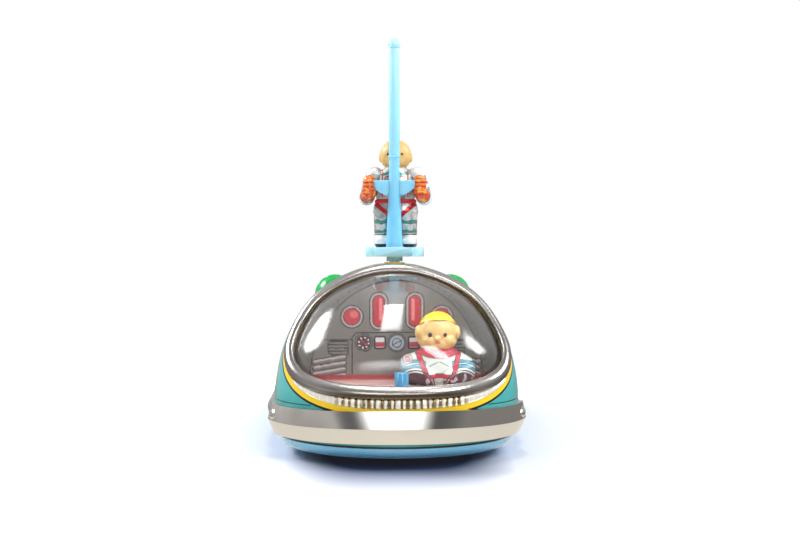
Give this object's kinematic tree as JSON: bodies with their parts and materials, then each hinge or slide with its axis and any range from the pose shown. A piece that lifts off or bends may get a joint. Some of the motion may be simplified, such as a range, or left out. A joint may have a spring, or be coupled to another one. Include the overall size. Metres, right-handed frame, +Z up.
{
  "type": "battery tin space toy",
  "caption": "Battery-driven tin space boat: domed cockpit with a seated pilot, chrome bumper, green roof lamps and a turning figure with a tall mast on its roof.",
  "frame": {"origin": "on the ground, at the middle of the overall length and width", "axes": "+Z up, nose and cockpit toward -Y, stern toward +Y, +X to the right when looking along +Y"},
  "size_m": [0.16, 0.32, 0.252],
  "materials": {
    "hull_green": "gloss tinplate litho, teal green",
    "pan_blue": "gloss enamel on tinplate, light blue",
    "chrome": "polished chrome on steel and plastic",
    "silver_plastic": "silver vacuum plated plastic",
    "blue_plastic": "moulded plastic, light blue",
    "clear_plastic": "clear moulded plastic, water clear",
    "lamp_green": "clear green moulded plastic",
    "litho_wall": "printed tinplate, satin grey with red windows",
    "yellow_plastic": "moulded plastic, yellow",
    "suit_white": "painted plastic figure, white suit",
    "suit_silver": "painted plastic figure, silver suit",
    "skin_cream": "painted plastic, cream",
    "console_blue": "clear blue moulded plastic",
    "black_plastic": "moulded plastic, black",
    "white_plastic": "moulded nylon, off white",
    "steel": "bright steel",
    "tin_bare": "plain tinplate, bright",
    "brass": "brass and copper strip",
    "rubber": "black rubber",
    "bulb_glass": "bulb glass with a brass cap",
    "cell_jacket": null
  },
  "bodies": {
    "hull": {"battery_box": "tin_bare", "battery_contacts": "brass", "battery_left": "cell_jacket", "battery_right": "cell_jacket", "bottom_pan": "pan_blue", "bumper": "chrome", "bumper_bullets": "chrome", "canopy_bezel": "chrome", "canopy_bubble": "clear_plastic", "carriage_bridge": "tin_bare", "case_screws": "steel", "cockpit_floor": "litho_wall", "contact_brushes": "brass", "door_hinge_pin": "steel", "exhaust_nozzle_left": "silver_plastic", "exhaust_nozzle_right": "silver_plastic", "hull_shell": "hull_green", "instrument_wall": "litho_wall", "lamp_bulb_left": "bulb_glass", "lamp_bulb_right": "bulb_glass", "lamp_cups": "white_plastic", "lamp_lens_left": "lamp_green", "lamp_lens_right": "lamp_green", "pilot_body": "suit_white", "pilot_head": "skin_cream", "rear_axle_bracket": "tin_bare", "roof_collar": "yellow_plastic", "screw_bosses": "tin_bare", "side_console": "console_blue", "side_pod_left": "silver_plastic", "side_pod_right": "silver_plastic", "switch_housing": "black_plastic", "transom_plate": "hull_green"},
    "carriage": {"carriage_frame": "tin_bare", "drive_motor": "steel", "swivel_shaft": "steel", "slip_ring": "brass", "thrust_washer": "white_plastic", "figure_platform": "blue_plastic", "mast": "blue_plastic", "wing_handle": "blue_plastic", "figure_body": "suit_silver", "figure_head": "skin_cream", "figure_arm_left": "suit_silver", "figure_arm_right": "suit_silver"},
    "axle": {"drive_axle": "steel", "axle_gear": "white_plastic", "drive_wheel_left": "black_plastic", "drive_wheel_right": "black_plastic", "drive_tyre_left": "rubber", "drive_tyre_right": "rubber"},
    "cluster": {"cluster_gear": "white_plastic"},
    "rotor": {"motor_pinion": "brass"},
    "rear": {"rear_axle": "steel", "rear_wheel_left": "black_plastic", "rear_wheel_right": "black_plastic", "rear_tyre_left": "rubber", "rear_tyre_right": "rubber"},
    "door": {"battery_door": "pan_blue"},
    "switch": {"power_switch": "black_plastic"}
  },
  "joints": [
    {"name": "carriage_swivel", "type": "hinge", "parent": "hull", "child": "carriage", "pos_m": [0, -0.076, 0.0362], "axis": [0, 0, 1], "continuous": true},
    {"name": "axle_spin", "type": "hinge", "parent": "carriage", "child": "axle", "pos_m": [0, -0.076, 0.014], "axis": [1, 0, 0], "continuous": true},
    {"name": "cluster_spin", "type": "hinge", "parent": "carriage", "child": "cluster", "pos_m": [0, -0.07, 0.02439], "axis": [1, 0, 0], "continuous": true},
    {"name": "motor_spin", "type": "hinge", "parent": "carriage", "child": "rotor", "pos_m": [0, -0.0819, 0.02285], "axis": [1, 0, 0], "continuous": true},
    {"name": "rear_spin", "type": "hinge", "parent": "hull", "child": "rear", "pos_m": [0, 0.102, 0.012], "axis": [1, 0, 0], "continuous": true},
    {"name": "door_hinge", "type": "hinge", "parent": "hull", "child": "door", "pos_m": [0, -0.0065, 0.0051], "axis": [1, 0, 0], "range_deg": [-95, 0]},
    {"name": "switch_slide", "type": "slide", "parent": "hull", "child": "switch", "axis": [0, 1, 0], "range_m": [0, 0.006]}
  ],
  "couplings": [
    {"joint": "cluster_spin", "follows": "axle_spin", "ratio": -2.3333},
    {"joint": "motor_spin", "follows": "axle_spin", "ratio": 5.4444}
  ]
}
